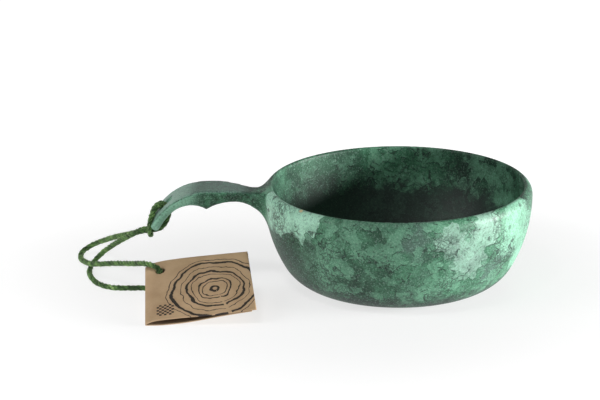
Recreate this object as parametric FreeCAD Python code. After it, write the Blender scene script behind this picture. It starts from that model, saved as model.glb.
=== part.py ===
"""A moulded kuksa bowl with a lanyard of twisted twine and a folded card tag.

Millimetres, +Z up. The origin is the centre of the bowl's flat base, which stands on z = 0.
The handle runs along -X. The twine is hitched on the handle's slotted tongue and lies beside
the handle, with the tag on it at the -Y side.
"""
import FreeCAD, Part
import math
import os

os.makedirs("parts", exist_ok=True)

Vector = FreeCAD.Vector

# Bowl
base_radius = 42.1
corner_radius = 23.3
corner_turn = 60
belly_radius = 76.6
belly_turn = 30
lip_curl_radius = 5.9
lip_curl_turn = 57
wall = 4.4

# Handle, seen from the side
rim_blend_turn = 44
rim_blend_radius = 9.8
neck_radius = 14.0
neck_turn = 13
back_radius = 85.0
tongue_x = -103.0
tongue_radius = 33.0
tongue_thickness = 4.0
tongue_end = 67
thumb_arc_radius = 15.0
thumb_arc_start = 43.4
cusp_slope = 37
finger_arc_radius = 21.3
finger_arc_end = -78

# Handle's flanks: along the top, the place, its height, the half width there and the flank's slope
flank_rows = [
    (-50.0, 54.0, 26.5, 0.30), (-60.0, 54.0, 24.5, 0.30), (-66.5, 54.0, 20.0, 0.30),
    (-70.3, 54.0, 14.6, 0.30), (-73.0, 53.0, 9.9, 0.26), (-77.5, 51.6, 6.9, 0.21),
    (-83.0, 52.5, 7.0, 0.24), (-88.0, 53.3, 8.7, 0.30), (-93.0, 53.8, 10.1, 0.36),
    (-98.0, 53.9, 10.8, 0.38), (-103.0, 53.9, 10.9, 0.38), (-108.0, 53.6, 10.9, 0.36),
    (-113.0, 52.4, 11.4, 0.34), (-118.5, 50.1, 11.8, 0.32), (-124.5, 45.8, 11.8, 0.28),
    (-132.0, 37.0, 11.8, 0.20), (-140.0, 30.0, 11.8, 0.10),
]
flank_low = 28.0
flank_high = 58.0
end_round_radius = 11.9
end_round_angle = 51
end_round_facing = 58

# Slot in the tongue
slot_from = 36
slot_to = 53.2
slot_width = 6.6
slot_corner = 1.6

# Twine
twine = 2.8
hitch_half_route = [
    (-140.1, 3.4, 28.5), (-136.9, 1.6, 29.5), (-132.8, 1.4, 29.0), (-126.8, 1.5, 30.9),
    (-123.1, 1.5, 39.5), (-126.6, 1.5, 44.8), (-131.0, 1.7, 44.0), (-133.6, 2.6, 38.9),
    (-135.1, 4.6, 33.6), (-134.9, 4.9, 28.4), (-134.1, 1.7, 25.6),
]
hitch_near_end = [(-137.4, -1.5, 29.6), (-141.9, -1.0, 28.6)]
long_strand_route = [
    (-140.7, 3.7, 28.1), (-143.3, 6.4, 26.0), (-147.3, 13.0, 22.9), (-151.4, 21.0, 19.6),
    (-155.4, 29.0, 16.1), (-159.4, 36.6, 12.5), (-163.0, 42.8, 9.4), (-166.6, 47.0, 6.9),
    (-169.9, 47.9, 5.0), (-173.1, 47.0, 3.3), (-175.2, 44.5, 2.1), (-175.8, 41.0, 1.5),
    (-175.6, 36.2, 1.7), (-174.4, 29.2, 3.6), (-172.0, 20.2, 6.5), (-168.6, 11.0, 8.8),
    (-163.6, 3.6, 10.4), (-157.2, -2.2, 11.9), (-150.2, -9.2, 14.0), (-143.4, -17.0, 16.6),
    (-137.6, -24.6, 19.0), (-133.4, -29.4, 20.2), (-130.2, -31.6, 19.8), (-128.3, -31.9, 17.4),
    (-127.8, -30.8, 14.2), (-127.4, -29.2, 9.6),
]
short_strand_route = [
    (-142.9, -0.4, 28.0), (-144.9, 1.5, 26.4), (-147.8, 5.4, 23.8), (-151.6, 11.0, 20.0),
    (-155.4, 16.4, 16.1), (-158.7, 20.2, 12.7), (-161.6, 21.7, 10.1), (-164.6, 21.5, 7.2),
    (-167.1, 20.0, 4.5), (-168.7, 17.3, 2.3), (-169.2, 13.8, 1.6), (-168.9, 8.4, 1.5),
    (-167.2, 1.6, 1.6), (-164.4, -5.6, 1.5), (-160.2, -11.4, 1.6), (-154.6, -14.6, 1.5),
    (-148.0, -15.4, 1.6), (-141.4, -15.0, 1.5), (-135.4, -15.6, 1.6), (-131.2, -17.8, 2.4),
    (-128.8, -22.0, 3.9),
]
knot_centre = (-126.8, -26.5, 5.2)
knot_radius = 4.6

# Tag: a card folded once, lying tilted with its fold to the left
card = 0.5
leaf_depth = 51.0
fold_front = Vector(-134.5, -71.4, 0.6)
fold_slant = 2.1
tag_tilt = 16.8
hole_radius = 2.6
hole_from_fold = 8.0
hole_from_front = 42.6


class Pen:
    """Draws an outline in a plane from tangent lines and arcs."""

    def __init__(self, place, start, heading):
        self.place = place
        self.at = start
        self.heading = heading
        self.edges = []

    def line(self, length):
        turn = math.radians(self.heading)
        self.line_to((self.at[0] + length * math.cos(turn), self.at[1] + length * math.sin(turn)))

    def line_to(self, end):
        self.edges.append(Part.LineSegment(self.place(*self.at), self.place(*end)).toShape())
        self.at = end

    def arc(self, radius, turn):
        """A positive turn is to the left."""
        side = 90 if turn > 0 else -90
        to_centre = math.radians(self.heading + side)
        centre = (self.at[0] + radius * math.cos(to_centre), self.at[1] + radius * math.sin(to_centre))
        ends = []
        for part_turn in (turn / 2, turn):
            out = math.radians(self.heading + part_turn - side)
            ends.append((centre[0] + radius * math.cos(out), centre[1] + radius * math.sin(out)))
        self.edges.append(Part.Arc(self.place(*self.at), self.place(*ends[0]), self.place(*ends[1])).toShape())
        self.at = ends[1]
        self.heading += turn

    def close(self, start):
        self.line_to(start)
        return Part.Face(Part.Wire(self.edges))


def side_plane(x, z):
    return Vector(x, 0, z)


def on_tongue(angle, radius, y=0.0):
    """A place round the tongue's bend; angle 0 is straight up from the bend's centre."""
    turn = math.radians(angle)
    return Vector(tongue_x - radius * math.sin(turn), y, tongue_z + radius * math.cos(turn))


def lip_place(turn):
    """Where the outer wall is when it has turned so far past upright, as radius and height."""
    angle = math.radians(turn)
    return (
        rim_radius - lip_curl_radius * (1 - math.cos(angle)),
        rim_height + lip_curl_radius * math.sin(angle),
    )


def wall_outline(pen):
    """The outer wall from the axis out to the lip's crest."""
    pen.line(base_radius)
    pen.arc(corner_radius, corner_turn)
    pen.arc(belly_radius, belly_turn)
    pen.arc(lip_curl_radius, lip_curl_turn)


def make_bowl():
    pen = Pen(side_plane, (0, 0), 0)
    wall_outline(pen)
    pen.arc(lip_radius, 180 - lip_curl_turn)
    pen.line(pen.at[1] - rim_height)
    pen.arc(belly_radius - wall, -belly_turn)
    pen.arc(corner_radius - wall, -corner_turn)
    pen.line_to((0, wall))
    return pen.close((0, 0)).revolve(Vector(0, 0, 0), Vector(0, 0, 1), 360)


def make_cavity():
    """Everything inside the inner wall and above the floor, up past the lip."""
    above = rim_height + 30
    pen = Pen(side_plane, (0, wall), 0)
    pen.line(base_radius)
    pen.arc(corner_radius - wall, corner_turn)
    pen.arc(belly_radius - wall, belly_turn)
    pen.line_to((pen.at[0], above))
    pen.line_to((0, above))
    return pen.close((0, wall)).revolve(Vector(0, 0, 0), Vector(0, 0, 1), 360)


def handle_side():
    """The handle's side outline, from inside the wall out along the top and back underneath."""
    root_x = -60.0
    lip_x, lip_z = lip_place(90 - rim_blend_turn)
    start = (root_x, lip_z)
    pen = Pen(side_plane, start, 180)
    pen.line_to((-lip_x, lip_z))
    pen.heading = 180 + rim_blend_turn
    pen.arc(rim_blend_radius, -rim_blend_turn)
    pen.arc(neck_radius, -neck_turn)
    pen.arc(back_radius, neck_turn)
    pen.line(pen.at[0] - tongue_x)
    pen.arc(tongue_radius, tongue_end)
    pen.arc(tongue_thickness / 2, 180)
    pen.arc(tongue_radius - tongue_thickness, thumb_arc_start - tongue_end)
    pen.arc(thumb_arc_radius, -thumb_arc_start - cusp_slope)
    pen.heading = cusp_slope
    pen.arc(finger_arc_radius, finger_arc_end - cusp_slope)
    pen.line_to((root_x, pen.at[1]))
    return pen.close(start)


def flank_outline(height):
    """The handle's outline at one height, seen from above."""
    edge = [(x, half + slope * (height - top)) for x, top, half, slope in flank_rows]
    far = Part.BSplineCurve()
    far.interpolate([Vector(x, half, height) for x, half in edge])
    near = Part.BSplineCurve()
    near.interpolate([Vector(x, -half, height) for x, half in reversed(edge)])
    (root_x, root_half), (end_x, end_half) = edge[0], edge[-1]
    end = Part.LineSegment(Vector(end_x, end_half, height), Vector(end_x, -end_half, height))
    root = Part.LineSegment(Vector(root_x, -root_half, height), Vector(root_x, root_half, height))
    return Part.Wire([curve.toShape() for curve in (far, end, near, root)])


def make_flanks():
    return Part.makeLoft([flank_outline(flank_low), flank_outline(flank_high)], True, True)


def make_end_round():
    """The tongue's end is rounded as seen square to its face."""
    depth = 160.0
    centre = on_tongue(end_round_angle, tongue_radius - tongue_thickness / 2)
    disc = Part.makeCylinder(end_round_radius, depth, Vector(0, 0, -depth / 2))
    back = Part.makeBox(90, 80, depth, Vector(0, -40, -depth / 2))
    tool = disc.fuse(back)
    tool.rotate(Vector(0, 0, 0), Vector(0, 1, 0), -end_round_facing)
    tool.translate(centre)
    return tool


def make_slot():
    """A rounded slot through the tongue, square to it."""
    middle = (slot_from + slot_to) / 2
    length = math.radians(slot_to - slot_from) * (tongue_radius - tongue_thickness / 2)
    depth = 16.0
    block = Part.makeBox(length, slot_width, depth, Vector(-length / 2, -slot_width / 2, -depth / 2))
    uprights = [edge for edge in block.Edges if abs(edge.tangentAt(0).z) > 0.9]
    block = block.makeFillet(slot_corner, uprights)
    block.rotate(Vector(0, 0, 0), Vector(0, 1, 0), -middle)
    block.translate(on_tongue(middle, tongue_radius - tongue_thickness / 2))
    return block


def make_cup():
    side = handle_side().extrude(Vector(0, 60, 0))
    side.translate(Vector(0, -30, 0))
    handle = side.common(make_flanks()).common(make_end_round()).cut(make_cavity()).cut(make_slot())
    return make_bowl().fuse(handle).removeSplitter()


def rounded_route(points):
    """Straight runs joined by tangent arcs, as a wire, with its length and the arcs' radii."""
    points = [Vector(*point) for point in points]
    edges = []
    radii = []
    start = points[0]
    for before, corner, after in zip(points, points[1:], points[2:]):
        back = (before - corner).normalize()
        ahead = (after - corner).normalize()
        half_turn = (math.pi - back.getAngle(ahead)) / 2
        shorter = min((before - corner).Length, (after - corner).Length)
        reach = 0.45 * shorter
        radius = reach / math.tan(half_turn)
        first = corner + back * reach
        last = corner + ahead * reach
        to_centre = (back + ahead).normalize()
        middle = corner + to_centre * (radius / math.cos(half_turn) - radius)
        edges.append(Part.LineSegment(start, first).toShape())
        edges.append(Part.Arc(first, middle, last).toShape())
        radii.append(radius)
        start = last
    edges.append(Part.LineSegment(start, points[-1]).toShape())
    return Part.Wire(edges), radii


def make_twine(name, points):
    wire, radii = rounded_route(points)
    start = Vector(*points[0])
    along = Vector(*points[1]) - start
    ring = Part.Wire(Part.makeCircle(twine / 2, start, along))
    tube = wire.makePipeShell([ring], True, False)
    expected = math.pi * (twine / 2) ** 2 * wire.Length
    print(name, "length %.1f" % wire.Length, "volume / expected %.4f" % (tube.Volume / expected),
          "lowest %.2f" % tube.BoundBox.ZMin, "radii", ["%.1f" % radius for radius in radii])
    return tube


def hitch_route():
    """Under the tongue's tip, up through the slot, down over the tip, across and back the same way."""
    far = hitch_half_route
    near = [(x, -y, z) for x, y, z in reversed(far[2:])]
    return far + near + hitch_near_end


def tag_axes():
    """The tag's own directions: across from the fold, along the fold, and out of its face."""
    tilt = math.radians(tag_tilt)
    slant = math.radians(fold_slant)
    along = Vector(-math.sin(slant), math.cos(slant) * math.cos(tilt), math.cos(slant) * math.sin(tilt))
    face = Vector(0, -math.sin(tilt), math.cos(tilt))
    across = along.cross(face)
    return across, along, face


def leaf(start, heading, pieces):
    """A bent strip of card: pieces are (length,) for a flat and (radius, turn) for a bend."""
    across, along, face = tag_axes()

    def place(u, w):
        return fold_front + across * u + face * w

    turn = math.radians(heading)
    upper = (start[0] - card / 2 * math.sin(turn), start[1] + card / 2 * math.cos(turn))
    lower = (start[0] + card / 2 * math.sin(turn), start[1] - card / 2 * math.cos(turn))
    over = Pen(place, upper, heading)
    under = Pen(place, lower, heading)
    for piece in pieces:
        if len(piece) == 1:
            over.line(piece[0])
            under.line(piece[0])
        else:
            radius, bend = piece
            outward = card / 2 if bend < 0 else -card / 2
            over.arc(radius + outward, bend)
            under.arc(radius - outward, bend)
    ends = [
        Part.LineSegment(over.place(*over.at), under.place(*under.at)).toShape(),
        Part.LineSegment(place(*lower), place(*upper)).toShape(),
    ]
    outline = Part.Wire(Part.__sortEdges__(over.edges + under.edges + ends))
    sheet = Part.Face(outline).extrude(along * leaf_depth)
    hole_at = place(hole_from_fold, -10) + along * hole_from_front
    return sheet.cut(Part.makeCylinder(hole_radius, 30, hole_at, face))


def make_front_leaf():
    return leaf((0.5, 0.42), 36, [(15.0, -30), (49.0,)])


def make_back_leaf():
    return leaf((0.4, -0.25), 0, [(9.0,), (48.0, 12), (22.5,), (30.0, -6), (10.5,)])


rim_radius = (base_radius + corner_radius * math.sin(math.radians(corner_turn))
              + belly_radius * (1 - math.sin(math.radians(corner_turn))))
rim_height = (corner_radius * (1 - math.cos(math.radians(corner_turn)))
              + belly_radius * math.cos(math.radians(corner_turn)))
lip_cosine = math.cos(math.radians(lip_curl_turn))
lip_radius = (wall - lip_curl_radius * (1 - lip_cosine)) / (1 + lip_cosine)
neck_rise = neck_radius + back_radius
tongue_z = (lip_place(90 - rim_blend_turn)[1]
            - rim_blend_radius * (1 - math.cos(math.radians(rim_blend_turn)))
            + neck_rise * (1 - math.cos(math.radians(neck_turn))) - tongue_radius)

nodes = {
    "cup_body": make_cup(),
    "lanyard_hitch": make_twine("hitch", hitch_route()),
    "lanyard_long_strand": make_twine("long strand", long_strand_route),
    "lanyard_short_strand": make_twine("short strand", short_strand_route),
    "lanyard_knot": Part.makeSphere(knot_radius, Vector(*knot_centre)),
    "tag_front_leaf": make_front_leaf(),
    "tag_back_leaf": make_back_leaf(),
}
for name, shape in nodes.items():
    box = shape.BoundBox
    print(name, "valid" if shape.isValid() else "NOT VALID", "solids", len(shape.Solids),
          "volume %.1f" % shape.Volume,
          "box %.1f %.1f %.1f to %.1f %.1f %.1f" % (box.XMin, box.YMin, box.ZMin, box.XMax, box.YMax, box.ZMax))
    shape.exportStep("parts/" + name + ".step")
print("rim radius %.2f" % rim_radius, "rim height %.2f" % rim_height, "lip radius %.2f" % lip_radius)
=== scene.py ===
"""Looks of a moulded kuksa bowl with a loop of twisted twine and a folded card tag. Metres, +Z up."""
import math
import random

import bpy
import numpy as np
from mathutils import Matrix, Vector


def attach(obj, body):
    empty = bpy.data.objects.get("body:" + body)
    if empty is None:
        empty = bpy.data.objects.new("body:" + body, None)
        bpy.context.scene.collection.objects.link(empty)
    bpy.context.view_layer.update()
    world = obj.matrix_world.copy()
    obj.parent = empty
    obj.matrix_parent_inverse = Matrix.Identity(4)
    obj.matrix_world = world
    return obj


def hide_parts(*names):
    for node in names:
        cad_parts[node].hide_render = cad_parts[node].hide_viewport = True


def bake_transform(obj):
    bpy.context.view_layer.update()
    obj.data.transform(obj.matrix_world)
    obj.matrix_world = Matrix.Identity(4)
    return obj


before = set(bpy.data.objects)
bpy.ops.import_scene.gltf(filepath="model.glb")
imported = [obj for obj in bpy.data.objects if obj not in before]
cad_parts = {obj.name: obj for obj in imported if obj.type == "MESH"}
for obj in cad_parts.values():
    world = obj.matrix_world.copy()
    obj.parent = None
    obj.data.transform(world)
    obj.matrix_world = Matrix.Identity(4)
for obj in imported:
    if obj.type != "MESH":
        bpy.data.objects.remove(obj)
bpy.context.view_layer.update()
scene = bpy.context.scene
MM = 0.001

# ---------------------------------------------------------------- camera

CAMERA_PLACE = (-0.0531, -1.5469, 0.5400)
CAMERA_PITCH = math.radians(17.716)
CAMERA_ROLL = math.radians(-0.462)

camera_data = bpy.data.cameras.new("camera")
camera_data.lens = 180
camera_data.sensor_width = 36
camera_data.clip_start = 0.1
camera_data.clip_end = 20
camera = bpy.data.objects.new("camera", camera_data)
scene.collection.objects.link(camera)
scene.camera = camera
camera.matrix_world = (
    Matrix.Translation(CAMERA_PLACE)
    @ Matrix.Rotation(math.pi / 2 - CAMERA_PITCH, 4, "X")
    @ Matrix.Rotation(CAMERA_ROLL, 4, "Z")
)
scene.view_settings.view_transform = "Standard"

# ---------------------------------------------------------------- the twine's routes, in millimetres

LONG_STRAND_ROUTE = [
    (-140.7, 3.7, 28.1), (-143.3, 6.4, 26.0), (-147.3, 13.0, 22.9), (-151.4, 21.0, 19.6),
    (-155.4, 29.0, 16.1), (-159.4, 36.6, 12.5), (-163.0, 42.8, 9.4), (-166.6, 47.0, 6.9),
    (-169.9, 47.9, 5.0), (-173.1, 47.0, 3.3), (-175.2, 44.5, 2.1), (-175.8, 41.0, 1.5),
    (-175.6, 36.2, 1.6), (-174.4, 29.2, 2.7), (-172.0, 20.2, 4.6), (-168.6, 11.0, 6.6),
    (-163.6, 3.6, 8.9), (-157.2, -2.2, 11.3), (-150.2, -9.2, 13.6), (-143.4, -17.0, 16.0),
    (-137.6, -24.6, 18.8), (-133.4, -29.4, 19.7), (-130.2, -31.6, 19.2), (-128.3, -31.9, 16.9),
    (-127.8, -30.8, 13.6), (-127.4, -29.2, 9.6),
]
SHORT_STRAND_ROUTE = [
    (-142.9, -0.4, 28.0), (-144.9, 1.5, 26.4), (-147.8, 5.4, 23.8), (-151.6, 11.0, 20.0),
    (-155.4, 16.4, 16.1), (-158.7, 20.2, 12.7), (-161.6, 21.7, 10.1), (-164.6, 21.5, 7.2),
    (-167.1, 20.0, 4.6), (-168.7, 17.3, 2.6), (-169.2, 13.8, 1.6), (-168.9, 8.4, 1.5),
    (-167.2, 1.6, 1.6), (-164.4, -5.6, 1.5), (-160.2, -11.4, 1.6), (-154.6, -14.6, 1.5),
    (-148.0, -15.4, 1.6), (-141.4, -15.0, 1.5), (-135.4, -15.6, 1.6), (-131.2, -17.8, 2.4),
    (-128.8, -22.0, 3.9),
]
HITCH_HALF_ROUTE = [
    (-140.1, 3.4, 28.5), (-136.9, 1.6, 29.8), (-132.6, 1.4, 29.8), (-127.4, 1.5, 31.6),
    (-123.5, 1.5, 39.3), (-126.8, 1.5, 44.5), (-131.0, 1.7, 43.6), (-133.3, 2.6, 38.8),
    (-134.7, 4.2, 33.6), (-134.6, 4.3, 29.2), (-134.3, 1.7, 27.0),
]
HITCH_NEAR_END = [(-137.4, -1.5, 29.7), (-141.9, -1.0, 28.6)]
HITCH_ROUTE = HITCH_HALF_ROUTE + [(x, -y, z) for x, y, z in reversed(HITCH_HALF_ROUTE[2:])] + HITCH_NEAR_END

# The knot is a small trefoil lying flat, with two tails
KNOT_CENTRE = (-126.8, -26.5, 5.4)
KNOT_SIZE = 1.44
KNOT_RISE = 1.9
KNOT_STEPS = 12
TAIL_ROUTES = [
    [(-125.5, -27.0, 5.2), (-122.8, -25.6, 4.4), (-119.4, -25.8, 2.6), (-116.2, -27.8, 1.7)],
    [(-126.2, -28.0, 4.6), (-124.4, -30.8, 3.6), (-123.2, -33.6, 2.2), (-124.0, -36.6, 1.8)],
]


# ---------------------------------------------------------------- helpers

def new_object(name, data):
    thing = bpy.data.objects.new(name, data)
    scene.collection.objects.link(thing)
    return thing


def mesh_object(name, points, faces, material):
    mesh = bpy.data.meshes.new(name)
    mesh.from_pydata([tuple(p) for p in points], [], faces)
    mesh.update()
    mesh.polygons.foreach_set("use_smooth", [True] * len(mesh.polygons))
    mesh.materials.append(material)
    return new_object(name, mesh)


def vectors_of(mesh, what):
    """The place (co) or direction (normal) of each of a mesh's points."""
    flat = np.empty(len(mesh.vertices) * 3)
    mesh.vertices.foreach_get(what, flat)
    return flat.reshape(-1, 3)


def put_points(mesh, points):
    mesh.vertices.foreach_set("co", np.ascontiguousarray(points).ravel())
    mesh.update()


def apply_modifiers(thing):
    """Keeps the result of an object's modifiers as its mesh."""
    graph = bpy.context.evaluated_depsgraph_get()
    mesh = bpy.data.meshes.new_from_object(thing.evaluated_get(graph))
    thing.modifiers.clear()
    thing.data = mesh


def unit(vectors):
    return vectors / np.linalg.norm(vectors, axis=-1, keepdims=True)


def srgb(red, green, blue):
    def linear(value):
        value /= 255
        return value / 12.92 if value <= 0.04045 else ((value + 0.055) / 1.055) ** 2.4
    return (linear(red), linear(green), linear(blue), 1.0)


class Shader:
    """A material's node tree around one principled shader."""

    def __init__(self, name):
        self.material = bpy.data.materials.new(name)
        self.material.use_nodes = True
        self.tree = self.material.node_tree
        self.surface = self.tree.nodes["Principled BSDF"]

    def node(self, kind, inputs=(), **settings):
        made = self.tree.nodes.new("ShaderNode" + kind)
        for key, value in settings.items():
            setattr(made, key, value)
        for key, value in dict(inputs).items():
            self.feed(made.inputs[key], value)
        return made

    def feed(self, socket, value):
        if isinstance(value, bpy.types.NodeSocket):
            self.tree.links.new(value, socket)
        else:
            socket.default_value = value

    def math(self, operation, *values, clamp=False):
        made = self.node("Math", dict(enumerate(values)), operation=operation, use_clamp=clamp)
        return made.outputs[0]

    def plus(self, first, second):
        return self.math("ADD", first, second)

    def minus(self, first, second, clamp=False):
        return self.math("SUBTRACT", first, second, clamp=clamp)

    def times(self, first, *others):
        for other in others:
            first = self.math("MULTIPLY", first, other)
        return first

    def largest(self, first, *others):
        for other in others:
            first = self.math("MAXIMUM", first, other)
        return first

    def size(self, value):
        return self.math("ABSOLUTE", value)

    def vector(self, operation, *values, output="Vector"):
        return self.node("VectorMath", dict(enumerate(values)), operation=operation).outputs[output]

    def parts(self, vector):
        return self.node("SeparateXYZ", {0: vector}).outputs

    def place(self):
        return self.node("TexCoord").outputs["Object"]

    def noise(self, vector, scale, detail=2.0, rough=0.5, output="Fac"):
        inputs = {"Vector": vector, "Scale": scale, "Detail": detail, "Roughness": rough}
        return self.node("TexNoise", inputs).outputs[output]

    def cells(self, vector, scale, feature="F1", output="Distance"):
        made = self.node("TexVoronoi", {"Vector": vector, "Scale": scale}, feature=feature)
        return made.outputs[output]

    def near(self, vector, centre, radius, soft):
        """One within a distance of a place (in mm), fading to nothing past it."""
        far = self.vector("DISTANCE", vector, tuple(c * MM for c in centre), output="Value")
        return self.step(far, (radius + soft) * MM, (radius - soft) * MM)

    def warp(self, vector, scale, amount, detail=2.0):
        """The place moved about by noise, by up to about half the amount each way."""
        noise = self.noise(vector, scale, detail, output="Color")
        centred = self.vector("SUBTRACT", noise, (0.5, 0.5, 0.5))
        moved = self.node("VectorMath", {0: centred, "Scale": amount}, operation="SCALE").outputs[0]
        return self.vector("ADD", vector, moved)

    def step(self, value, low, high, out_low=0.0, out_high=1.0):
        """Runs smoothly from one output to the other while the value goes from low to high."""
        inputs = {"Value": value, "From Min": low, "From Max": high, "To Min": out_low, "To Max": out_high}
        return self.node("MapRange", inputs, interpolation_type="SMOOTHSTEP").outputs[0]

    def mix(self, share, first, second):
        made = self.node("Mix", data_type="RGBA")
        self.feed(made.inputs[0], share)
        self.feed(made.inputs[6], first)
        self.feed(made.inputs[7], second)
        return made.outputs[2]

    def bump(self, height, distance, strength):
        made = self.node("Bump", {"Height": height, "Distance": distance, "Strength": strength})
        self.feed(self.surface.inputs["Normal"], made.outputs[0])


# ---------------------------------------------------------------- lines and tubes

LINE_STEP = 0.3 * MM


def lengths_along(line):
    """How far along a line each of its points is."""
    return np.concatenate([[0], np.cumsum(np.linalg.norm(np.diff(line, axis=0), axis=1))])


def spline_line(name, route):
    """Evenly spaced points along the smooth curve that the route controls."""
    curve = bpy.data.curves.new(name, "CURVE")
    curve.dimensions = "3D"
    spline = curve.splines.new("NURBS")
    spline.points.add(len(route) - 1)
    for point, place in zip(spline.points, route):
        point.co = (place[0] * MM, place[1] * MM, place[2] * MM, 1)
    spline.order_u = 3
    spline.use_endpoint_u = True
    spline.resolution_u = 16
    holder = new_object(name, curve)
    bpy.context.view_layer.update()
    graph = bpy.context.evaluated_depsgraph_get()
    line = vectors_of(bpy.data.meshes.new_from_object(holder.evaluated_get(graph)), "co")
    bpy.data.objects.remove(holder)
    along = lengths_along(line)
    places = np.linspace(0, along[-1], int(along[-1] / LINE_STEP) + 1)
    return np.stack([np.interp(places, along, line[:, k]) for k in range(3)], 1)


def carried_frames(line):
    """Two directions across a line that don't spin about it."""
    tangents = unit(np.gradient(line, axis=0))
    across = np.zeros_like(line)
    across[0] = unit(np.cross(tangents[0], (0.0, 0.0, 1.0)))
    for k in range(1, len(line)):
        across[k] = unit(across[k - 1] - tangents[k] * (across[k - 1] @ tangents[k]))
    return across, np.cross(tangents, across)


class Tubes:
    """Gathers closed tubes into one mesh, with a shade for each of their points."""

    def __init__(self):
        self.points = []
        self.faces = []
        self.shades = []
        self.count = 0

    def add(self, line, frames, radii, sides):
        """One tube round a line, with a radius for each ring or for each point of each ring."""
        first, second = frames
        angles = np.linspace(0, 2 * math.pi, sides, endpoint=False)
        ring = first[:, None] * np.cos(angles)[:, None] + second[:, None] * np.sin(angles)[:, None]
        radii = np.broadcast_to(np.reshape(radii, (len(line), -1)), (len(line), sides))
        points = (line[:, None] + ring * radii[..., None]).reshape(-1, 3)
        for k in range(len(line) - 1):
            low = self.count + k * sides
            for j in range(sides):
                a = low + j
                b = low + (j + 1) % sides
                self.faces.append((a, b, b + sides, a + sides))
        last = self.count + (len(line) - 1) * sides
        self.faces.append(tuple(self.count + j for j in reversed(range(sides))))
        self.faces.append(tuple(last + j for j in range(sides)))
        self.points.append(points)
        self.count += len(points)
        return points

    def build(self, name, material):
        thing = mesh_object(name, np.concatenate(self.points), self.faces, material)
        shade = thing.data.attributes.new("ply_shade", "FLOAT", "POINT")
        shade.data.foreach_set("value", self.shades)
        return thing


# ---------------------------------------------------------------- twine

PLIES = 3
PLY_PITCH = 8.0 * MM
PLY_OFFSET = 0.68 * MM
PLY_RADIUS = 0.80 * MM
PLY_SIDES = 18
CREVICE = 0.88 * MM  # how far the groove between two plies is from the rope's middle
HAIR_GAP = 0.3 * MM
HAIR_ROOT = 0.9  # how deep in its ply a hair starts, in ply radii
HAIR_RADII = np.array([0.055, 0.05, 0.045, 0.035, 0.012]) * MM
HAIR_LOWEST = 0.2 * MM


def ply_line(line, frames, along, ply):
    """A ply's middle line, the way out of the rope at each of its points, and how full it is there."""
    across, over = frames
    turn = along / PLY_PITCH * 2 * math.pi + ply * 2 * math.pi / PLIES
    out = across * np.cos(turn)[:, None] + over * np.sin(turn)[:, None]
    swell = 1 + 0.05 * np.sin(along / MM * 1.9 + ply * 2.1) + 0.04 * np.sin(along / MM * 0.73 + ply * 1.3)
    return line + out * (PLY_OFFSET * swell)[:, None], out, swell


def ply_radii(along, swell, tapers):
    """A radius for each point of each ring: lobed round the ply, and narrowing at a loose end."""
    spread = np.arange(PLY_SIDES) / PLY_SIDES * 2 * math.pi
    lobes = 1 + 0.07 * np.cos(6 * spread[None, :] + (along / MM * 2.4)[:, None])
    radii = PLY_RADIUS * swell[:, None] * lobes
    for end, taper in zip((0, -1), tapers):
        if taper:
            far = np.abs(along - along[end]) / (taper * MM)
            radii = radii * np.sqrt(np.clip(far, 0.02, 1))[:, None]
    return radii


def ply_tones_and_groove_shade(skin, line, ply):
    """Painted shade in the groove between two plies, painted light on their backs, and a little different for
    each ply.
    """
    from_middle = np.linalg.norm(skin - np.repeat(line, PLY_SIDES, axis=0), axis=1)
    raised = np.clip((from_middle - CREVICE) / (PLY_OFFSET + PLY_RADIUS - CREVICE), 0, 1)
    return list(0.12 * ply + 0.45 * raised - 0.05)


def grow_hair(root, lift, direction, chance):
    """One fibre that leans along the ply and curls off it."""
    lean = direction * chance.choice((-1, 1)) * chance.uniform(0.5, 2.2)
    length = chance.uniform(0.5, 1.5) * MM
    joints = len(HAIR_RADII) - 1
    hair = [root]
    heading = lift * 0.35 + lean
    for _ in range(joints):
        rise = lift * chance.uniform(-0.25, 0.45)
        heading = heading + rise + np.array([chance.uniform(-0.4, 0.4) for _ in range(3)])
        hair.append(hair[-1] + unit(heading) * length / joints)
    hair = np.array(hair)
    hair[:, 2] = np.maximum(hair[:, 2], HAIR_LOWEST)
    return hair


def rope(name, line, frames, along, seed, tapers=(0, 0)):
    """Three twisted plies with fibres lifting off them, following a line."""
    tubes = Tubes()
    chance = random.Random(seed)
    for ply in range(PLIES):
        centre, out, swell = ply_line(line, frames, along, ply)
        direction = unit(np.gradient(centre, axis=0))
        first = unit(out - direction * np.sum(out * direction, axis=1, keepdims=True))
        second = np.cross(direction, first)
        skin = tubes.add(centre, (first, second), ply_radii(along, swell, tapers), PLY_SIDES)
        tubes.shades += ply_tones_and_groove_shade(skin, line, ply)
        for _ in range(int((along[-1] - along[0]) / HAIR_GAP)):
            k = chance.randrange(2, len(line) - 3)
            angle = chance.uniform(-1.7, 1.7)
            lift = first[k] * math.cos(angle) + second[k] * math.sin(angle)
            hair = grow_hair(centre[k] + lift * PLY_RADIUS * HAIR_ROOT, lift, direction[k], chance)
            hair_skin = tubes.add(hair, carried_frames(hair), HAIR_RADII, 3)
            tubes.shades += [chance.uniform(0.6, 1.3)] * len(hair_skin)
    return tubes.build(name, twine_material)


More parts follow.
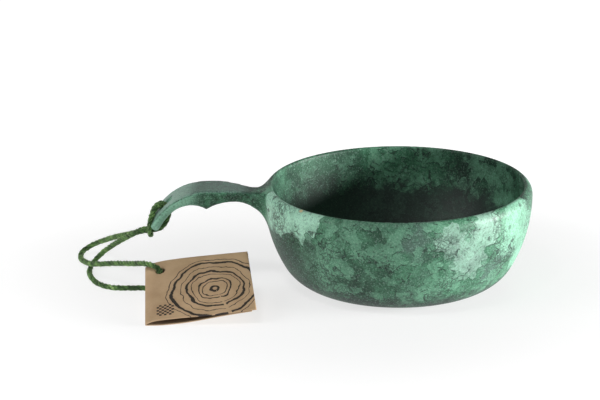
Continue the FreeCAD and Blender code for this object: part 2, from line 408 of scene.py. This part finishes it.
def make_twine_material():
    """Green fibre, from painted shade in the grooves to pale at the ends of the hairs."""
    shader = Shader("twine_green")
    place = shader.place()
    ply = shader.node("Attribute", attribute_name="ply_shade").outputs["Fac"]
    slow = shader.noise(place, 160, 2)
    fine = shader.noise(place, 2200, 3, 0.7)
    tone = shader.plus(ply, shader.times(shader.minus(slow, 0.5), 1.1))
    tone = shader.plus(tone, shader.times(shader.minus(fine, 0.5), 1.3))
    ramp = shader.node("ValToRGB", {"Fac": tone})
    stops = ramp.color_ramp.elements
    stops[0].color = srgb(22, 48, 20)
    stops[1].color = srgb(182, 214, 140)
    for position, colour in ((0.35, srgb(44, 80, 34)), (0.7, srgb(90, 134, 66))):
        stops.new(position).color = colour
    shader.feed(shader.surface.inputs["Base Color"], ramp.outputs[0])
    shader.surface.inputs["Roughness"].default_value = 0.85
    shader.surface.inputs["Sheen Weight"].default_value = 0.5
    shader.surface.inputs["Sheen Tint"].default_value = srgb(214, 236, 190)
    shader.bump(fine, 0.3 * MM, 0.6)
    return shader.material


twine_material = make_twine_material()

# The loop is one twine, drawn from the knot up the long strand, round the hitch and down the short strand.
loop_line = spline_line("loop", LONG_STRAND_ROUTE[::-1] + HITCH_ROUTE + SHORT_STRAND_ROUTE)
loop_frames = carried_frames(loop_line)
loop_along = lengths_along(loop_line)


def loop_index(place):
    """The loop's point nearest to a place in millimetres."""
    return int(np.argmin(np.linalg.norm(loop_line - np.array(place) * MM, axis=1)))


def loop_piece(name, low, high, seed):
    part = slice(low, high + 1)
    return rope(name, loop_line[part], [each[part] for each in loop_frames], loop_along[part], seed)


def free_rope(name, route, seed, tapers):
    line = spline_line(name, route)
    return rope(name, line, carried_frames(line), lengths_along(line), seed, tapers)


def knot_route():
    route = []
    for k in range(KNOT_STEPS + 1):
        turn = k / KNOT_STEPS * 2 * math.pi
        route.append((
            KNOT_CENTRE[0] + KNOT_SIZE * (math.sin(turn) + 2 * math.sin(2 * turn)),
            KNOT_CENTRE[1] + KNOT_SIZE * (math.cos(turn) - 2 * math.cos(2 * turn)),
            KNOT_CENTRE[2] - KNOT_RISE * math.sin(3 * turn),
        ))
    return route


first_cut = loop_index(LONG_STRAND_ROUTE[0])
second_cut = loop_index(SHORT_STRAND_ROUTE[0])
long_strand = loop_piece("twine_long_strand", 0, first_cut, 11)
hitch = loop_piece("twine_hitch", first_cut, second_cut, 12)
short_strand = loop_piece("twine_short_strand", second_cut, len(loop_line) - 1, 13)
knot = free_rope("twine_knot", knot_route(), 21, (0.5, 0.5))
tails = [free_rope(f"twine_tail_{k + 1}", route, 22 + k, (0, 0.4)) for k, route in enumerate(TAIL_ROUTES)]

# ---------------------------------------------------------------- card tag, in millimetres

FOLD_FRONT = Vector((-134.5, -71.4, 0.6))
FOLD_SLANT = math.radians(2.1)
TAG_TILT = math.radians(16.8)
TAG_ALONG = Vector((-math.sin(FOLD_SLANT), math.cos(FOLD_SLANT) * math.cos(TAG_TILT),
                    math.cos(FOLD_SLANT) * math.sin(TAG_TILT)))
TAG_FACE = Vector((0, -math.sin(TAG_TILT), math.cos(TAG_TILT)))
TAG_ACROSS = TAG_ALONG.cross(TAG_FACE)
LEAF_DEPTH = 51.0
LEAF_COLUMNS = 90
LEAF_ROWS = 40
FOLD_CROWDING = 1.25  # above one, the columns stand closer together at the fold
CARD = 0.5
HOLE_RADIUS = 2.6
HOLE_FROM_FOLD = 8.0
HOLE_FROM_FRONT = 42.6

# A leaf's height over the tag's plane along its front edge and its back edge, as (across, height) pairs
FRONT_LEAF_EDGES = (
    [(0.0, 0.15), (1.2, 1.1), (4.0, 2.3), (9.2, 3.1), (19.0, 4.1), (33.0, 5.1), (44.0, 6.1), (58.3, 8.1)],
    [(0.0, 0.15), (1.2, 1.2), (4.0, 2.8), (9.9, 4.3), (15.7, 5.2), (25.4, 6.3), (38.8, 7.5), (54.9, 8.8)],
)
BACK_LEAF_EDGES = (
    [(0.0, -0.1), (2.0, -0.2), (10.0, -0.1), (22.0, 1.1), (34.0, 3.3), (44.0, 5.2), (55.9, 7.1)],
    [(0.0, -0.1), (2.0, -0.2), (10.0, -0.1), (22.0, 1.3), (34.0, 3.8), (44.0, 5.7), (55.2, 7.5)],
)

# The print: growth rings of a tree round an off-centre pith, parted by a crack, and a block of plain checks
CHART_SIZE = 100.0  # one unit of the leaf's chart
PITH = (37.0, 22.0)
RINGS = ((2.2, 1.5), (6.2, 0.5), (8.4, 0.9), (12.6, 0.45), (15.0, 1.3), (18.4, 0.4), (22.6, 1.6), (25.4, 0.5))
RING_WOBBLE = 7.0
INK_BLUR = 0.1
CRACK_WIDENING = 0.045
CRACK_SLANT = 0.35
BLOCK_CORNER = (6.0, 3.4)
CHECK_SIZE = 1.3
CHECKS_A_SIDE = 7.0


def tag_place(across, along, over):
    return (FOLD_FRONT + TAG_ACROSS * across + TAG_ALONG * along + TAG_FACE * over) * MM


def smooth_height(knots, u):
    """A smooth curve through a few (across, height) pairs."""
    xs = [k[0] for k in knots]
    ys = [k[1] for k in knots]
    slopes = []
    for k in range(len(xs)):
        a = max(k - 1, 0)
        b = min(k + 1, len(xs) - 1)
        slopes.append((ys[b] - ys[a]) / (xs[b] - xs[a]))
    k = min(max(int(np.searchsorted(xs, u)) - 1, 0), len(xs) - 2)
    width = xs[k + 1] - xs[k]
    t = (u - xs[k]) / width
    return ((2 * t**3 - 3 * t**2 + 1) * ys[k] + (t**3 - 2 * t**2 + t) * width * slopes[k]
            + (-2 * t**3 + 3 * t**2) * ys[k + 1] + (t**3 - t**2) * width * slopes[k + 1])


def leaf_points(near_edge, far_edge):
    """A leaf's points, row by row from its front edge, and the place of each on the flat card."""
    widest = near_edge[-1][0]
    farthest = far_edge[-1][0]
    points = []
    flat_places = []
    for r in range(LEAF_ROWS + 1):
        share = r / LEAF_ROWS
        reach = widest + (farthest - widest) * share
        for c in range(LEAF_COLUMNS + 1):
            u = reach * (c / LEAF_COLUMNS) ** FOLD_CROWDING
            height = (smooth_height(near_edge, min(u, widest)) * (1 - share)
                      + smooth_height(far_edge, min(u, farthest)) * share)
            points.append(tag_place(u, share * LEAF_DEPTH, height))
            flat_places.append((u, share * LEAF_DEPTH))
    return points, flat_places


def punch_hole(leaf):
    bpy.ops.mesh.primitive_cylinder_add(vertices=48, radius=HOLE_RADIUS * MM, depth=0.03)
    cutter = bpy.context.object
    facing = TAG_FACE.to_track_quat("Z", "Y").to_matrix().to_4x4()
    cutter.matrix_world = Matrix.Translation(tag_place(HOLE_FROM_FOLD, HOLE_FROM_FRONT, 2)) @ facing
    cut = leaf.modifiers.new("cut", "BOOLEAN")
    cut.object = cutter
    cut.solver = "EXACT"
    apply_modifiers(leaf)
    bpy.data.objects.remove(cutter)


def make_leaf(name, edges, upper, lower, rim):
    """A leaf of card. Its cut edges have the upper side's material if rim is 0, the lower's if it is 1."""
    points, flat_places = leaf_points(*edges)
    faces = []
    for r in range(LEAF_ROWS):
        for c in range(LEAF_COLUMNS):
            a = r * (LEAF_COLUMNS + 1) + c
            b = a + LEAF_COLUMNS + 1
            faces.append((a, a + 1, b + 1, b))
    leaf = mesh_object(name, points, faces, upper)
    leaf.data.materials.append(lower)
    chart = leaf.data.uv_layers.new(name="print")
    for loop in leaf.data.loops:
        u, v = flat_places[loop.vertex_index]
        chart.data[loop.index].uv = (u / CHART_SIZE, v / CHART_SIZE)
    thick = leaf.modifiers.new("thick", "SOLIDIFY")
    thick.thickness = CARD * MM
    thick.offset = 0
    thick.material_offset = 1
    thick.material_offset_rim = rim
    apply_modifiers(leaf)
    punch_hole(leaf)
    return leaf


def ring_ink(shader, chart, x, y):
    """The rings, with a crack that starts at the pith and widens towards the front edge."""
    wobble = shader.minus(shader.noise(chart, 9.0, 3, 0.5), 0.5)
    far = shader.math("SQRT", shader.plus(shader.times(x, x), shader.times(y, y)))
    wavy = shader.plus(far, shader.times(wobble, RING_WOBBLE))
    lines = []
    for radius, width in RINGS:
        gap = shader.size(shader.minus(wavy, radius))
        lines.append(shader.step(gap, width / 2 + INK_BLUR, width / 2 - INK_BLUR))
    from_crack = shader.size(shader.plus(x, shader.times(y, CRACK_SLANT)))
    in_crack = shader.math("LESS_THAN", from_crack, shader.times(far, CRACK_WIDENING))
    crack = shader.times(in_crack, shader.math("LESS_THAN", y, 0.0))
    return shader.times(shader.largest(*lines), shader.minus(1.0, crack))


def within_block(shader, checks_along):
    past_start = shader.math("GREATER_THAN", checks_along, 0.0)
    return shader.times(past_start, shader.math("LESS_THAN", checks_along, CHECKS_A_SIDE))


def print_ink(shader):
    chart = shader.node("UVMap", uv_map="print").outputs[0]
    parts = shader.parts(chart)
    across = shader.times(parts[0], CHART_SIZE)
    along = shader.times(parts[1], CHART_SIZE)
    rings = ring_ink(shader, chart, shader.minus(across, PITH[0]), shader.minus(along, PITH[1]))
    block_x = shader.math("DIVIDE", shader.minus(across, BLOCK_CORNER[0]), CHECK_SIZE)
    block_y = shader.math("DIVIDE", shader.minus(along, BLOCK_CORNER[1]), CHECK_SIZE)
    check_number = shader.plus(shader.math("FLOOR", block_x), shader.math("FLOOR", block_y))
    checks = shader.size(shader.math("MODULO", check_number, 2.0))
    block = shader.times(within_block(shader, block_x), within_block(shader, block_y))
    return shader.plus(shader.times(rings, shader.minus(1.0, block)), shader.times(block, checks))


def make_card_material(name, printed=False, shade=0.0):
    """Brown card with fibres in it. Shade is how far it is darkened, as painted shade."""
    shader = Shader(name)
    place = shader.place()
    fibres = shader.noise(shader.vector("MULTIPLY", place, (900.0, 3000.0, 900.0)), 1.0, 3, 0.6)
    blotch = shader.noise(place, 90, 3)
    base = shader.mix(shader.step(blotch, 0.3, 0.7), srgb(184, 154, 118), srgb(198, 168, 132))
    base = shader.mix(shader.step(fibres, 0.55, 0.75, 0.0, 0.35), base, srgb(150, 118, 84))
    if printed:
        base = shader.mix(print_ink(shader), base, srgb(46, 38, 34))
    base = shader.mix(shade, base, srgb(40, 28, 20))
    shader.feed(shader.surface.inputs["Base Color"], base)
    shader.surface.inputs["Roughness"].default_value = 0.7
    shader.bump(fibres, 0.2 * MM, 0.35)
    return shader.material


# The inside of the fold is darkened as painted shade, for the shadow between the two leaves.
card_inside_painted_shade = make_card_material("card_inside_painted_shade", shade=0.62)
card_printed = make_card_material("card_printed", printed=True)
card_plain = make_card_material("card_plain")
front_leaf = make_leaf("card_front_leaf", FRONT_LEAF_EDGES, card_printed, card_inside_painted_shade, rim=0)
back_leaf = make_leaf("card_back_leaf", BACK_LEAF_EDGES, card_inside_painted_shade, card_plain, rim=1)

# ---------------------------------------------------------------- cup

# The bowl's wall, in millimetres and degrees
CORNER_CENTRE = (42.1, 23.3)
CORNER_RADIUS = 23.3
BELLY_CENTRE = (-4.06, 49.95)
BELLY_RADIUS = 76.6
BELLY_TURN = 30
RIM_RADIUS = 72.54
RIM_HEIGHT = 49.95
LIP_CURL_RADIUS = 5.9
LIP_CURL_TURN = 57
LIP_RADIUS = 1.105
WALL = 4.4

VOXEL = 0.85 * MM
EVENING_ROUNDS = 6
EVEN_OUT = 0.5
PUSH_BACK = -0.52
HANDLE_BEHIND = -60 * MM
HANDLE_HALF_WIDTH = 27 * MM
HANDLE_FROM_RADIUS = 68.4 * MM
CLEAR_OF_BOWL = 73.4 * MM
OFF_WALL = 0.45 * MM
HANDLE_GROWTH = 0.35 * MM
GROWTH_STARTS = 74 * MM
GROWTH_RUN = 4 * MM
ROOT_STARTS = 73 * MM
ROOT_RUN = 6 * MM
HANDLE_ROUNDS = 4
ROOT_ROUNDS = 18


def bowl_profile():
    """The wall's outline as (radius, height), from the base's centre over the lip to the floor's centre."""
    profile = [(0.0, 0.0), (CORNER_CENTRE[0], 0.0)]

    def arc(centre, radius, begin, end, count):
        for k in range(1, count + 1):
            angle = math.radians(begin + (end - begin) * k / count)
            profile.append((centre[0] + radius * math.cos(angle), centre[1] + radius * math.sin(angle)))

    mouth_radius = RIM_RADIUS - WALL
    lip_height = RIM_HEIGHT + (LIP_CURL_RADIUS - LIP_RADIUS) * math.sin(math.radians(LIP_CURL_TURN))
    arc(CORNER_CENTRE, CORNER_RADIUS, -90, -BELLY_TURN, 40)
    arc(BELLY_CENTRE, BELLY_RADIUS, -BELLY_TURN, 0, 80)
    arc((RIM_RADIUS - LIP_CURL_RADIUS, RIM_HEIGHT), LIP_CURL_RADIUS, 0, LIP_CURL_TURN, 30)
    arc((mouth_radius + LIP_RADIUS, lip_height), LIP_RADIUS, LIP_CURL_TURN, 180, 24)
    profile.append((mouth_radius, RIM_HEIGHT))
    arc(BELLY_CENTRE, BELLY_RADIUS - WALL, 0, -BELLY_TURN, 80)
    arc(CORNER_CENTRE, CORNER_RADIUS - WALL, -BELLY_TURN, -90, 40)
    profile.append((0.0, WALL))
    return np.array(profile) * MM


def nearest_on_profile(places, profile):
    """For (radius, height) places, the nearest place on the profile's outline."""
    starts = profile[:-1]
    spans = profile[1:] - starts
    lengths = np.maximum(np.sum(spans**2, axis=1), 1e-18)
    best = np.empty_like(places)
    batch = 4000
    for low in range(0, len(places), batch):
        part = places[low:low + batch]
        t = np.clip(np.sum((part[:, None] - starts) * spans, axis=2) / lengths, 0, 1)
        spots = starts + spans * t[..., None]
        nearest = np.argmin(np.sum((part[:, None] - spots) ** 2, axis=2), axis=1)
        best[low:low + batch] = spots[np.arange(len(part)), nearest]
    return best


class Net:
    """A mesh's points and edges, for moving points by their neighbours."""

    def __init__(self, mesh):
        ends = np.empty(len(mesh.edges) * 2, int)
        mesh.edges.foreach_get("vertices", ends)
        self.points = vectors_of(mesh, "co")
        self.sides = (ends[0::2], ends[1::2]), (ends[1::2], ends[0::2])
        self.counts = np.bincount(ends, minlength=len(self.points)).astype(float)

    def relax(self, share):
        """Moves each point a share of the way to the middle of its neighbours."""
        total = np.zeros_like(self.points)
        for near, far in self.sides:
            np.add.at(total, near, self.points[far])
        self.points = self.points + (total / self.counts[:, None] - self.points) * share

    def spread(self, weight, rounds, fall):
        """Lets a weight run out along the edges, less by the fall at each one."""
        for _ in range(rounds):
            reached = np.zeros(len(weight))
            for near, far in self.sides:
                np.maximum.at(reached, near, weight[far])
            weight = np.maximum(weight, reached - fall)
        return np.clip(weight, 0, 1)


def shape_wall(net, radii):
    """Puts the bowl's points on its outline. Returns how far each point belongs to the handle."""
    flat = np.stack([radii, net.points[:, 2]], 1)
    target = nearest_on_profile(flat, bowl_profile())
    off_wall = np.linalg.norm(target - flat, axis=1) > OFF_WALL
    by_handle = (net.points[:, 0] < HANDLE_BEHIND) & (np.abs(net.points[:, 1]) < HANDLE_HALF_WIDTH)
    handle = by_handle & (radii > HANDLE_FROM_RADIUS) & (off_wall | (radii > CLEAR_OF_BOWL))
    share = net.spread(handle.astype(float), 5, 0.2)
    scale = np.where(radii > 1e-6, target[:, 0] / np.maximum(radii, 1e-6), 1)
    on_wall = np.stack([net.points[:, 0] * scale, net.points[:, 1] * scale, target[:, 1]], 1)
    net.points = on_wall * (1 - share[:, None]) + net.points * share[:, None]
    return share


def remeshed_cup():
    cup = new_object("cup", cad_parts["cup_body"].data.copy())
    remesh = cup.modifiers.new("remesh", "REMESH")
    remesh.mode = "VOXEL"
    remesh.voxel_size = VOXEL
    apply_modifiers(cup)
    return cup


def make_cup(material):
    """One skin for bowl and handle, with the bowl exact and the handle growing softly out of its wall."""
    cup = remeshed_cup()
    mesh = cup.data
    net = Net(mesh)
    for _ in range(EVENING_ROUNDS):
        net.relax(EVEN_OUT)
        net.relax(PUSH_BACK)
    radii = np.hypot(net.points[:, 0], net.points[:, 1])
    handle = shape_wall(net, radii)
    # The remesh shrinks the handle a little: grow it back, then soften its edges a little and its root more.
    put_points(mesh, net.points)
    growth = handle * np.clip((radii - GROWTH_STARTS) / GROWTH_RUN, 0, 1) * HANDLE_GROWTH
    net.points = net.points + vectors_of(mesh, "normal") * growth[:, None]
    root = handle * np.clip(1 - (radii - ROOT_STARTS) / ROOT_RUN, 0, 1)
    for _ in range(HANDLE_ROUNDS):
        net.relax(EVEN_OUT * handle[:, None])
    for _ in range(ROOT_ROUNDS):
        net.relax(EVEN_OUT * root[:, None])
    put_points(mesh, net.points)
    mesh.polygons.foreach_set("use_smooth", [True] * len(mesh.polygons))
    mesh.materials.clear()
    mesh.materials.append(material)
    return cup


# ---------------------------------------------------------------- the cup's composite

DEEP = srgb(26, 62, 44)
GREEN = srgb(64, 118, 88)
LIGHT = srgb(106, 160, 130)
MINT = srgb(142, 196, 168)
FROST = srgb(166, 216, 190)
PALE = srgb(166, 200, 184)
SLATE = srgb(78, 92, 90)
# The charcoal below paints shade low inside the bowl and round the foot; the seam colour after it also paints
# shade low on the wall under the handle.
CHAR = srgb(38, 49, 46)
SEAM_AND_SHADE = srgb(22, 42, 34)
BARE_FIBRE = srgb(200, 184, 140)
BARE_FIBRE_PLACE = (-52.6, -46.4, 54.7)
SEAM_LIFT = (0.0, 0.0, 0.55 * MM)

# Islands strewn about: cells per metre, patches per metre, level, strength, colour
STREWN_ISLANDS = (
    (150, 62, 0.55, 0.7, LIGHT),
    (300, 90, 0.55, 0.6, LIGHT),
)
# Islands in one place: cells per metre, strength, colour, and the (centre, radius) of the balls they lie in
PLACED_ISLANDS = (
    (230, 1.1, FROST, (((-67, -27, 49), 15.0), ((-53, -47, 52), 13.5))),
    (260, 0.5, PALE, (((26, -68, 45), 9.0), ((36, -61, 32), 11.0), ((44, -56, 47), 10.0))),
    # The mint islands on the bowl's right side are partly the composite's own colour and partly painted light
    # where the right-hand lamp falls.
    (260, 0.62, MINT, (((62, -36, 40), 16.0), ((66, -20, 30), 17.0))),
)
# Outlines of cells: cells per metre, width, level of the noise that says where they show
SCALES = ((230, 0.09, 0.50), (420, 0.12, 0.46))
# Winding seams: bends per metre, width, where in the noise they are taken from
SEAMS = ((28, 0.012, (4.1, 0.3, 2.2)), (60, 0.022, (1.1, 3.3, 0.4)))


class CompositeShader(Shader):
    """Adds where on the cup a point is, and the noise that several layers share."""

    def __init__(self, name):
        super().__init__(name)
        self.here = self.place()
        self.swirl = self.warp(self.here, 45, 10 * MM, 3)
        self.ragged = self.warp(self.swirl, 330, 2.4 * MM, 4)
        starts = (self.here, self.vector("ADD", self.here, SEAM_LIFT))
        self.bends = [self.warp(self.warp(start, 70, 6 * MM, 2), 460, 1.8 * MM, 3) for start in starts]
        self.tone = self.noise(self.ragged, 34, 7, 0.62)
        self.cloud = self.noise(self.vector("ADD", self.ragged, (0.9, 0.2, 1.6)), 110, 7, 0.68)
        self.grain = self.noise(self.here, 560, 3, 0.7)
        parts = self.parts(self.here)
        self.along = parts[0]
        self.ragged_height = self.plus(parts[2], self.times(self.minus(self.cloud, 0.5), 26 * MM))
        normal = self.node("NewGeometry").outputs["Normal"]
        self.facing_up = self.parts(normal)[2]
        self.inside = self.find_inside(normal, parts[2])
        # Low on the inside of the bowl, where shade is painted.
        self.painted_inside_shade = self.times(self.inside, self.step(self.ragged_height, 37 * MM, 29 * MM))

    def find_inside(self, normal, height):
        """One on the bowl's inner wall and floor."""
        flat = self.vector("MULTIPLY", self.here, (1.0, 1.0, 0.0))
        radius = self.vector("LENGTH", flat, output="Value")
        outward = self.vector("DOT_PRODUCT", normal, flat, output="Value")
        inner_wall = self.times(self.step(outward, 4 * MM, -4 * MM), self.step(radius, 70 * MM, 69 * MM))
        inner_floor = self.times(self.step(height, 12 * MM, 8 * MM), self.step(self.facing_up, 0.1, 0.6))
        return self.largest(inner_wall, inner_floor)


def cloudy_ground(shader):
    base = shader.mix(shader.step(shader.tone, 0.38, 0.56), DEEP, GREEN)
    base = shader.mix(shader.step(shader.cloud, 0.50, 0.72, 0.0, 0.55), base, LIGHT)
    base = shader.mix(shader.step(shader.cloud, 0.50, 0.30, 0.0, 0.6), base, DEEP)
    grey = shader.noise(shader.vector("ADD", shader.ragged, (0.31, 0.12, 0.77)), 24, 5, 0.6)
    return shader.mix(shader.step(grey, 0.52, 0.66, 0.0, 0.65), base, SLATE)


def add_island(shader, base, masks, faintest, strength, colour):
    """An island with a dark seam under it, where only the second mask reaches."""
    seam = shader.minus(masks[1], masks[0], clamp=True)
    texture = shader.step(shader.cloud, 0.34, 0.58, faintest, 1.0)
    base = shader.mix(shader.times(masks[0], texture, strength), base, colour)
    return shader.mix(shader.times(seam, 0.7), base, SEAM_AND_SHADE)


def add_islands(shader, base):
    """Islands made of small cells."""
    for cell, patch, level, strength, colour in STREWN_ISLANDS:
        masks = []
        for bent in shader.bends:
            spots = shader.cells(bent, cell, output="Position")
            masks.append(shader.step(shader.noise(spots, patch, 2, 0.5), level, level + 0.03))
        base = add_island(shader, base, masks, 0.35, strength, colour)
    for cell, strength, colour, balls in PLACED_ISLANDS:
        masks = []
        for bent in shader.bends:
            spots = shader.cells(bent, cell, output="Position")
            masks.append(shader.largest(*[shader.near(spots, centre, reach, 1.0) for centre, reach in balls]))
        base = add_island(shader, base, masks, 0.6, strength, colour)
    return base


def add_scales(shader, base):
    """Outlines of the cells, here and there."""
    where = shader.noise(shader.vector("ADD", shader.swirl, (2.3, 1.4, 0.2)), 42, 3, 0.5)
    for cell, width, level in SCALES:
        edge = shader.cells(shader.bends[0], cell, "DISTANCE_TO_EDGE")
        shown = shader.step(where, level, level + 0.12)
        line = shader.times(shader.step(edge, width, width * 0.3), shown)
        base = shader.mix(shader.times(line, 0.6), base, SEAM_AND_SHADE)
    return base


def add_seams(shader, base):
    """Winding seams, broken into lengths."""
    breaks = shader.noise(shader.vector("ADD", shader.ragged, (5.3, 1.4, 0.2)), 75, 3, 0.6)
    for bends, width, offset in SEAMS:
        level = shader.noise(shader.vector("ADD", shader.ragged, offset), bends, 4, 0.55)
        ridge = shader.size(shader.minus(level, 0.5))
        line = shader.times(shader.step(ridge, width, width * 0.3), shader.step(breaks, 0.50, 0.58))
        base = shader.mix(shader.times(line, 0.8), base, SEAM_AND_SHADE)
    return base


def darken(shader, base):
    """Painted shade low down on the handle's side, on the floor and inside by the handle, and a darker colour
    round the foot that is partly the composite's own and partly painted shade.
    """
    # Painted shade on the bowl's wall below the handle, which faces away from the light.
    by_handle = shader.step(shader.along, -38 * MM, -56 * MM)
    painted_side_shade = shader.times(by_handle, shader.step(shader.ragged_height, 42 * MM, 34 * MM))
    base = shader.mix(shader.times(painted_side_shade, 0.72), base, SEAM_AND_SHADE)
    # Round the foot: partly the composite's darker colour and partly painted shade where the bowl meets the
    # floor.
    foot = shader.step(shader.ragged_height, 15 * MM, 5 * MM)
    base = shader.mix(shader.times(foot, 0.75), base, CHAR)
    # Painted shade low inside the bowl, where little light reaches.
    base = shader.mix(shader.times(shader.painted_inside_shade, 0.85), base, CHAR)
    # Painted shade on the inner wall by the handle.
    painted_inner_shade = shader.times(shader.inside, shader.step(shader.along, -8 * MM, -42 * MM))
    return shader.mix(shader.times(painted_inner_shade, 0.5), base, DEEP)


def colour_handle(shader, base):
    """Slate on top of the handle as painted sheen, and dark along its sides as painted shade, both going pale
    and mint to the tongue's tip.
    """
    on_handle = shader.step(shader.along, -76 * MM, -84 * MM)
    # The top is lighter and greyer by which way it faces: painted sheen.
    top = shader.times(on_handle, shader.step(shader.facing_up, 0.35, 0.8))
    # The sides are darker by which way they face: painted shade.
    side = shader.times(on_handle, shader.step(shader.facing_up, 0.5, 0.1))
    ragged_along = shader.plus(shader.along, shader.times(shader.tone, 12 * MM))
    at_tip = shader.step(ragged_along, -98 * MM, -112 * MM)
    top_sheen_tone = shader.mix(shader.largest(at_tip, 0.15), SLATE, PALE)
    base = shader.mix(shader.times(top, 0.65), base, top_sheen_tone)
    side_tone = shader.mix(at_tip, shader.mix(shader.step(shader.cloud, 0.45, 0.6), DEEP, GREEN), MINT)
    return shader.mix(shader.times(side, 0.8), base, side_tone)


def add_grain(shader, base):
    """Fine grain, its light part fainter on the bowl's floor under the painted shade, and one fleck of bare
    fibre on the lip.
    """
    speck = shader.noise(shader.here, 1200, 2, 0.7)
    clear_of_painted_shade = shader.minus(1.0, shader.times(shader.painted_inside_shade, 0.8))
    base = shader.mix(shader.times(shader.step(shader.grain, 0.54, 0.72, 0.0, 0.4), clear_of_painted_shade), base, LIGHT)
    base = shader.mix(shader.step(shader.grain, 0.47, 0.30, 0.0, 0.55), base, SEAM_AND_SHADE)
    base = shader.mix(shader.times(shader.step(speck, 0.54, 0.70, 0.0, 0.35), clear_of_painted_shade), base, PALE)
    base = shader.mix(shader.step(speck, 0.46, 0.30, 0.0, 0.5), base, SEAM_AND_SHADE)
    fleck = shader.near(shader.warp(shader.here, 900, 1.2 * MM, 2), BARE_FIBRE_PLACE, 1.1, 0.3)
    return shader.mix(fleck, base, BARE_FIBRE)


def make_composite_material():
    """A moulded mix of wood fibre and green plastic, mottled, with scalloped islands and dark seams, and with
    painted shade and sheen.
    """
    shader = CompositeShader("composite_green")
    base = cloudy_ground(shader)
    for add_layer in (add_islands, add_scales, add_seams, darken, colour_handle, add_grain):
        base = add_layer(shader, base)
    shader.feed(shader.surface.inputs["Base Color"], base)
    shader.surface.inputs["Specular IOR Level"].default_value = 0.34
    shader.feed(shader.surface.inputs["Roughness"], shader.step(shader.grain, 0.3, 0.7, 0.46, 0.6))
    shader.bump(shader.noise(shader.here, 900, 3, 0.6), 0.2 * MM, 0.2)
    return shader.material


cup = make_cup(make_composite_material())

# ---------------------------------------------------------------- what moves with what

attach(cup, "cup")
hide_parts("cup_body")

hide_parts("lanyard_hitch")
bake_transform(hitch)

for piece, node in ((long_strand, "lanyard_long_strand"), (short_strand, "lanyard_short_strand"),
                    (knot, "lanyard_knot")):
    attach(piece, "lanyard")
    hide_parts(node)
for tail in tails:
    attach(tail, "lanyard")
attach(back_leaf, "tag")
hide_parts("tag_back_leaf")
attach(front_leaf, "tag_cover")
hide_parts("tag_front_leaf")

# ---------------------------------------------------------------- studio

FLOOR_HALF_WIDTH = 8
FLOOR_CENTRE = (-0.03, 0.0, 0.0)
WORLD_GLOW = 0.10


def make_floor():
    """A white floor that glows, less near the object as a painted shade round it, so that its shadow shows.
    """
    shader = Shader("floor_white")
    shader.surface.inputs["Base Color"].default_value = (0.30, 0.30, 0.30, 1)
    shader.surface.inputs["Roughness"].default_value = 0.9
    shader.surface.inputs["Specular IOR Level"].default_value = 0.0
    shader.surface.inputs["Emission Color"].default_value = (1, 1, 1, 1)
    from_object = shader.vector("DISTANCE", shader.place(), FLOOR_CENTRE, output="Value")
    # Dimmer glow near the object: a painted shade round it.
    glow = shader.step(from_object, 0.07, 0.28, 0.69, 0.96)
    shader.feed(shader.surface.inputs["Emission Strength"], glow)
    half = FLOOR_HALF_WIDTH
    corners = [(-half, -half, 0), (half, -half, 0), (half, half, 0), (-half, half, 0)]
    return mesh_object("floor", corners, [(0, 1, 2, 3)], shader.material)


def aim(light, place, target):
    lamp = new_object(light.name, light)
    lamp.location = place
    lamp.rotation_euler = (Vector(target) - Vector(place)).to_track_quat("-Z", "Y").to_euler()


def area_light(name, place, target, width, height, power):
    light = bpy.data.lights.new(name, "AREA")
    light.shape = "RECTANGLE"
    light.size = width
    light.size_y = height
    light.energy = power
    aim(light, place, target)


def snooted_light(name, place, target, angle, soft, power):
    light = bpy.data.lights.new(name, "SPOT")
    light.spot_size = math.radians(angle)
    light.spot_blend = 0.7
    light.shadow_soft_size = soft
    light.energy = power
    aim(light, place, target)


def make_world():
    world = bpy.data.worlds.new("world")
    world.use_nodes = True
    background = world.node_tree.nodes["Background"]
    background.inputs[0].default_value = (1, 1, 1, 1)
    background.inputs[1].default_value = WORLD_GLOW
    scene.world = world


floor = make_floor()
area_light("right_softbox", (1.2, -0.16, 0.2), (0, 0, 0.03), 0.6, 0.26, 33)
area_light("left_fill", (-1.2, -0.5, 0.75), (0, 0, 0.03), 0.7, 0.7, 7)
area_light("backdrop", (0, 2.4, 0.7), (0, 0, 0.3), 4.0, 1.2, 12)
snooted_light("tag_snoot", (-0.34, -0.42, 0.85), (-0.125, -0.03, 0.015), 15, 0.15, 21)
make_world()
